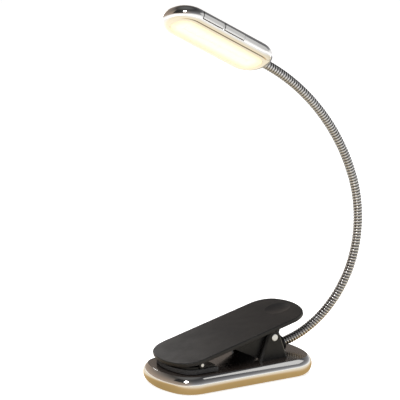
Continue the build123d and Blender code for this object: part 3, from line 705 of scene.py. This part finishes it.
to_head = head_matrix()
KEY_LENGTH = 12.6 * MM
KEY_LOW = -1.9 * MM
KEY_HIGH = 1.5 * MM
KEY_CENTRES = (-13.2 * MM, 0.7 * MM)
KEY_GAP = 0.28 * MM
KEY_CUT_DEPTH = 5.5 * MM
SEAT_GAP = 0.05 * MM
SEAT_STEPS = 40
SEAT_CUT_START = 2.5 * MM  # inside the head's end
SEAT_CUT_DEPTH = 4.0 * MM
LIP_INSET = 4.7 * MM
LIP_THICKNESS = 1.1 * MM
WELL_INSET = 3.9 * MM
# painted glow on the chrome lip below the lens: where it starts, how far it fades in, and its share
# on the keys' side
SPILL_TOP = -2.2 * MM
SPILL_FADE = 1.2 * MM
SPILL_NEAR = 0.25  # share of the spill on the keys' side
LENS_GAP = 0.1 * MM
LENS_FLANGE = -2.6 * MM
LENS_EDGE = ((0.0, -3.42 * MM), (0.06 * MM, -3.53 * MM), (0.22 * MM, -3.58 * MM))
LENS_CROWN = 0.05 * MM
LENS_REACH = 7.3 * MM  # from the lens's edge to where its crown is flat
LENS_RINGS = (0.05, 0.11, 0.18, 0.26, 0.36, 0.5, 0.7, 0.88)
RIM_REACH = 7.5 * MM
RIM_SLOPE = 1.6
RIM_POWER = 1.5


def head_ring():
    """Chrome band round the head: a key slot each, the neck's seat, the lens lip and a painted glow
    on the lip.
    """
    half = HEAD_HEIGHT / 2
    side, radius, middle = round_side(half, -half, half, 30)
    well_floor = LIP_THICKNESS - half
    inner = [
        (LIP_INSET, -half),
        (LIP_INSET, well_floor),
        (WELL_INSET, well_floor),
        (WELL_INSET, half),
    ]
    ring = swept("head_ring", head_shape, side + inner, to_head, 16)
    turn = to_head.to_3x3()
    x_axis, y_axis, z_axis = turn.col
    cutters = []
    for index, centre in enumerate(KEY_CENTRES):
        reach = KEY_LENGTH / 2 + KEY_GAP
        outline = [
            (-reach, KEY_LOW - KEY_GAP),
            (reach, KEY_LOW - KEY_GAP),
            (reach, KEY_HIGH + KEY_GAP),
            (-reach, KEY_HIGH + KEY_GAP),
        ]
        start = to_head @ Vector((centre, -HEAD_WIDTH / 2 - MM, 0))
        cutters.append(
            prism(f"key_cutter_{index}", outline, y_axis, start, KEY_CUT_DEPTH, (x_axis, z_axis))
        )
    seat_radius = NECK_RADIUS + SEAT_GAP
    angles = [2 * math.pi * step / SEAT_STEPS for step in range(SEAT_STEPS)]
    seat = [(seat_radius * math.cos(angle), seat_radius * math.sin(angle)) for angle in angles]
    start = to_head @ Vector((HEAD_LENGTH / 2 - SEAT_CUT_START, 0, 0))
    cutters.append(prism("seat_cutter", seat, x_axis, start, SEAT_CUT_DEPTH, (y_axis, z_axis)))
    cut_away(ring, cutters)
    polish(ring, head_shape, radius, middle, to_head)
    from_head = to_head.inverted()
    # painted glow: each vertex's spill number, full on the lip below SPILL_TOP and stronger on the
    # side away from the keys
    spills = []
    for vertex in ring.data.vertices:
        place = from_head @ vertex.co
        depth = min(1.0, max(0.0, (SPILL_TOP - place.z) / SPILL_FADE))
        far_side = min(1.0, max(0.0, 0.5 + place.y / HEAD_WIDTH))
        spills.append(depth * (SPILL_NEAR + (1 - SPILL_NEAR) * far_side))
    point_data(ring, "spill", spills)
    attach(ring, "head")
    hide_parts("head_band")


def lens_cover():
    """Crowned opal cover inside the band's lower lip, with the flange that holds it."""
    rim = LIP_INSET + LENS_GAP
    rows = [(rim, LENS_FLANGE)]
    rows += [(rim + step_in, z) for step_in, z in LENS_EDGE]
    face_inset, face_z = rows[-1]
    for share in LENS_RINGS:
        drop = LENS_CROWN * math.sin(share * math.pi / 2)
        rows.append((face_inset + share * LENS_REACH, face_z - drop))
    vertices, rims = [], []
    for inset, z in rows:
        loop = slab_outline(head_shape, inset)
        share = min(1.0, (inset - LIP_INSET) / RIM_REACH)
        for x, y in loop:
            vertices.append(to_head @ Vector((x, y, z)))
            rims.append(max(0.0, 1.0 - share * RIM_SLOPE) ** RIM_POWER)
    columns = len(loop)
    faces = grid_faces(len(rows), columns)
    faces.append(tuple(range((len(rows) - 1) * columns, len(rows) * columns)))
    faces.append(tuple(range(columns)))
    cover = piece("lens_cover", vertices, faces, "opal_lens")
    point_data(cover, "rim", rims)
    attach(cover, "head")
    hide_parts("lens")


base_ring()
head_ring()
lens_cover()


# ---------------------------------------------------------------- clamp spring
COIL_RADIUS = 3.3 * MM
WIRE_RADIUS = 0.45 * MM
COIL_PITCH = 1.1 * MM
COIL_TURNS = 9.35
LOWER_LEG_DIP = math.radians(30)
UPPER_LEG = 9.0 * MM
COIL_STEPS = 28
WIRE_STEPS = 14


def clamp_coil():
    """Torsion spring on the main pin: one leg down to the cover and one straight upper leg."""
    pin = Vector(joints["clamp_open"]["pos_m"])
    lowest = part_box("clamp_spring")[0].z
    drop = (COIL_RADIUS + WIRE_RADIUS) * math.cos(LOWER_LEG_DIP)
    lower_leg = (pin.z - lowest - drop) / math.sin(LOWER_LEG_DIP)
    half = COIL_PITCH * COIL_TURNS / 2

    def on_coil(turns):
        """Place, direction and outward direction of the wire after some turns."""
        angle = -math.pi / 2 - LOWER_LEG_DIP - 2 * math.pi * turns
        radial = Vector((math.cos(angle), 0, math.sin(angle)))
        along = Vector((math.sin(angle), 0, -math.cos(angle)))
        along = (along * 2 * math.pi * COIL_RADIUS + Vector((0, COIL_PITCH, 0))).normalized()
        place = pin + radial * COIL_RADIUS + Vector((0, COIL_PITCH * turns - half, 0))
        return place, along, radial

    count = round(COIL_TURNS * COIL_STEPS)
    path = [on_coil(COIL_TURNS * step / count) for step in range(count + 1)]
    place, along, radial = path[0]
    path.insert(0, (place - along * lower_leg, along, radial))
    place, along, radial = path[-1]
    path.append((place + along * UPPER_LEG, along, radial))
    vertices = []
    for place, along, radial in path:
        across = along.cross(radial)
        for step in range(WIRE_STEPS):
            angle = 2 * math.pi * step / WIRE_STEPS
            offset = radial * math.cos(angle) + across * math.sin(angle)
            vertices.append(place + offset * WIRE_RADIUS)
    faces = grid_faces(len(path), WIRE_STEPS)
    faces.append(tuple(range(WIRE_STEPS)))
    faces.append(tuple(range((len(path) - 1) * WIRE_STEPS, len(path) * WIRE_STEPS)))
    coil = piece("clamp_coil", vertices, faces, "spring_steel")
    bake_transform(coil)
    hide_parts("clamp_spring")


clamp_coil()


# ---------------------------------------------------------------- stage, light and camera
FLOOR_HEIGHT = -0.2 * MM
BOUNCE_HEIGHT = -0.1 * MM
REAR_FLAG_HEIGHT = -0.05 * MM
CARD_COLOUR = (0.01, 0.01, 0.01)


def stage_plane(name, half, height, glow, base):
    """Level square on the stage, lit by its own glow and by the lamps."""
    corners = [(-half, -half), (half, -half), (half, half), (-half, half)]
    mesh = bpy.data.meshes.new(name)
    mesh.from_pydata([(x, y, height) for x, y in corners], [], [(0, 1, 2, 3)])
    made = bpy.data.objects.new(name, mesh)
    bpy.context.scene.collection.objects.link(made)
    finish = Shader(name, Base_Color=(*base, 1.0), Roughness=0.7)
    finish.bsdf.inputs["Emission Color"].default_value = (1.0, 1.0, 1.0, 1.0)
    finish.bsdf.inputs["Emission Strength"].default_value = glow
    mesh.materials.append(finish.material)
    return made, finish


def reflected_plane(name, half, height, glow, base=CARD_COLOUR):
    """A stage plane that only reflections see."""
    made, finish = stage_plane(name, half, height, glow, base)
    for ray in ("camera", "diffuse", "shadow", "transmission"):
        setattr(made, "visible_" + ray, False)
    return made, finish


stage_plane("floor", 6.0, FLOOR_HEIGHT, 0.80, (0.55, 0.55, 0.55))

# warm light off the surface round the lamp, amber beside the base and pale far out
BOUNCE_REACH = (0.58, 0.26, 0.42)
bounce_finish = reflected_plane("warm_bounce", 0.34, BOUNCE_HEIGHT, 1.0, (0, 0, 0))[1]
radial = bounce_finish.node("ShaderNodeTexGradient", gradient_type="SPHERICAL")
shrink = tuple(1 / reach for reach in BOUNCE_REACH)
bounce_finish.link(bounce_finish.place(shrink), radial.inputs["Vector"])
warm = bounce_finish.ramp(
    radial.outputs["Fac"],
    (0.0, (1.0, 1.0, 1.0)),
    (0.30, (0.95, 0.92, 0.85)),
    (0.60, (0.84, 0.75, 0.57)),
    (0.83, (0.88, 0.79, 0.63)),
    (0.865, (0.74, 0.57, 0.37)),
    (0.887, (0.53, 0.35, 0.14)),
    (0.93, (0.42, 0.28, 0.11)),
)
bounce_finish.link(warm, bounce_finish.bsdf.inputs["Emission Color"])


def area_light(name, place, aim, size, power):
    """White oval lamp at a place, turned to a point; size is across and along."""
    data = bpy.data.lights.new(name, "AREA")
    data.shape = "ELLIPSE"
    data.size, data.size_y = size
    data.energy = power
    made = bpy.data.objects.new(name, data)
    made.location = place
    made.rotation_mode = "QUATERNION"
    made.rotation_quaternion = (Vector(aim) - Vector(place)).to_track_quat("-Z", "Y")
    made.visible_camera = False
    bpy.context.scene.collection.objects.link(made)
    return made


CAMERA_AZIMUTH = math.radians(-33.155)
CAMERA_ELEVATION = math.radians(16.412)
CAMERA_DISTANCE = 1.2
LENS_MM = 212.0
AIM_UP = 0.08957
AIM_LEFT = 0.01445

back = Vector(
    (
        math.sin(CAMERA_AZIMUTH) * math.cos(CAMERA_ELEVATION),
        -math.cos(CAMERA_AZIMUTH) * math.cos(CAMERA_ELEVATION),
        math.sin(CAMERA_ELEVATION),
    )
)
right = Vector((math.cos(CAMERA_AZIMUTH), math.sin(CAMERA_AZIMUTH), 0))
up = back.cross(right)

camera_data = bpy.data.cameras.new("camera")
camera_data.lens = LENS_MM
camera_data.clip_end = 50.0
camera = bpy.data.objects.new("camera", camera_data)
camera.location = back * CAMERA_DISTANCE
aim = up * AIM_UP - right * AIM_LEFT
camera.rotation_mode = "QUATERNION"
camera.rotation_quaternion = (aim - camera.location).to_track_quat("-Z", "Y")
bpy.context.scene.collection.objects.link(camera)
bpy.context.scene.camera = camera

# world light: its front, the way it blends into the rear, and its colours by height
FRONT = (0.80, -0.60, 0.0)
REAR_UNTIL = -0.35
FRONT_FROM = 0.45
FRONT_COLOURS = (
    (0.0, (1.0, 1.0, 1.0)),
    (0.06, (0.90, 0.90, 0.91)),
    (0.15, (0.38, 0.38, 0.39)),
    (0.32, (0.22, 0.22, 0.23)),
    (0.62, (0.10, 0.10, 0.105)),
    (0.85, (0.05, 0.05, 0.052)),
    (1.0, (0.14, 0.14, 0.14)),
)
REAR_COLOURS = (
    (0.0, (0.50, 0.40, 0.33)),
    (0.14, (0.40, 0.32, 0.26)),
    (0.3, (0.33, 0.265, 0.215)),
    (0.55, (0.20, 0.175, 0.155)),
    (0.75, (0.07, 0.065, 0.06)),
    (1.0, (0.14, 0.14, 0.14)),
)


def studio():
    """World light: a bright low front, darker overhead, and a dim warm back."""
    world = bpy.data.worlds.new("studio")
    world.use_nodes = True
    tree = world.node_tree
    background = tree.nodes["Background"]
    coordinates = tree.nodes.new("ShaderNodeTexCoord")
    parts = tree.nodes.new("ShaderNodeSeparateXYZ")
    tree.links.new(coordinates.outputs["Generated"], parts.inputs["Vector"])
    facing = tree.nodes.new("ShaderNodeVectorMath")
    facing.operation = "DOT_PRODUCT"
    facing.inputs[1].default_value = FRONT
    tree.links.new(coordinates.outputs["Generated"], facing.inputs[0])
    share = tree.nodes.new("ShaderNodeMapRange")
    share.interpolation_type = "SMOOTHSTEP"
    share.inputs["From Min"].default_value = REAR_UNTIL
    share.inputs["From Max"].default_value = FRONT_FROM
    tree.links.new(facing.outputs["Value"], share.inputs["Value"])

    front = colour_ramp(tree, parts.outputs["Z"], FRONT_COLOURS)
    rear = colour_ramp(tree, parts.outputs["Z"], REAR_COLOURS)
    mixed = tree.nodes.new("ShaderNodeMix")
    mixed.data_type = "RGBA"
    tree.links.new(share.outputs["Result"], mixed.inputs["Factor"])
    tree.links.new(rear, mixed.inputs["A"])
    tree.links.new(front, mixed.inputs["B"])
    tree.links.new(mixed.outputs["Result"], background.inputs["Color"])
    background.inputs["Strength"].default_value = 1.0
    bpy.context.scene.world = world


studio()
bpy.context.scene.view_settings.view_transform = "Standard"

object_middle = Vector((0.02, 0, 0.06))
top_light = area_light("top_light", (-0.1, -0.1, 1.2), object_middle, (1.2, 1.2), 22.0)
top_light.visible_glossy = False
area_light("key_light", (-0.75, -0.55, 0.75), object_middle, (0.35, 0.35), 5.0)
area_light("sheen_light", (0.0, 0.27, 0.19), (-0.03, 0, 0.02), (0.16, 0.10), 0.10)

# dark card to the left
flag = reflected_plane("dark_flag", 0.20, 0.0, 0.0)[0]
flag.rotation_euler = (0, math.radians(90), 0)
flag.location = (-0.42, -0.05, 0.42)

# pale card to the right, where the head's near side looks
CARD_AIM = Vector((0.822, -0.497, 0.277))
CARD_DISTANCE = 0.26
head_side = Vector((0.0, -0.01, 0.168))
card = reflected_plane("pale_card", 0.085, 0.0, 0.62)[0]
card.rotation_mode = "QUATERNION"
card.rotation_quaternion = CARD_AIM.to_track_quat("Z", "Y")
card.location = head_side + CARD_AIM * CARD_DISTANCE

# dark card on the floor behind, which darkens the outlines of the neck and head
rear_flag = reflected_plane("rear_flag", 0.27, REAR_FLAG_HEIGHT, 0.16)[0]
rear_flag.location = (0.37, 0.34, 0.0)
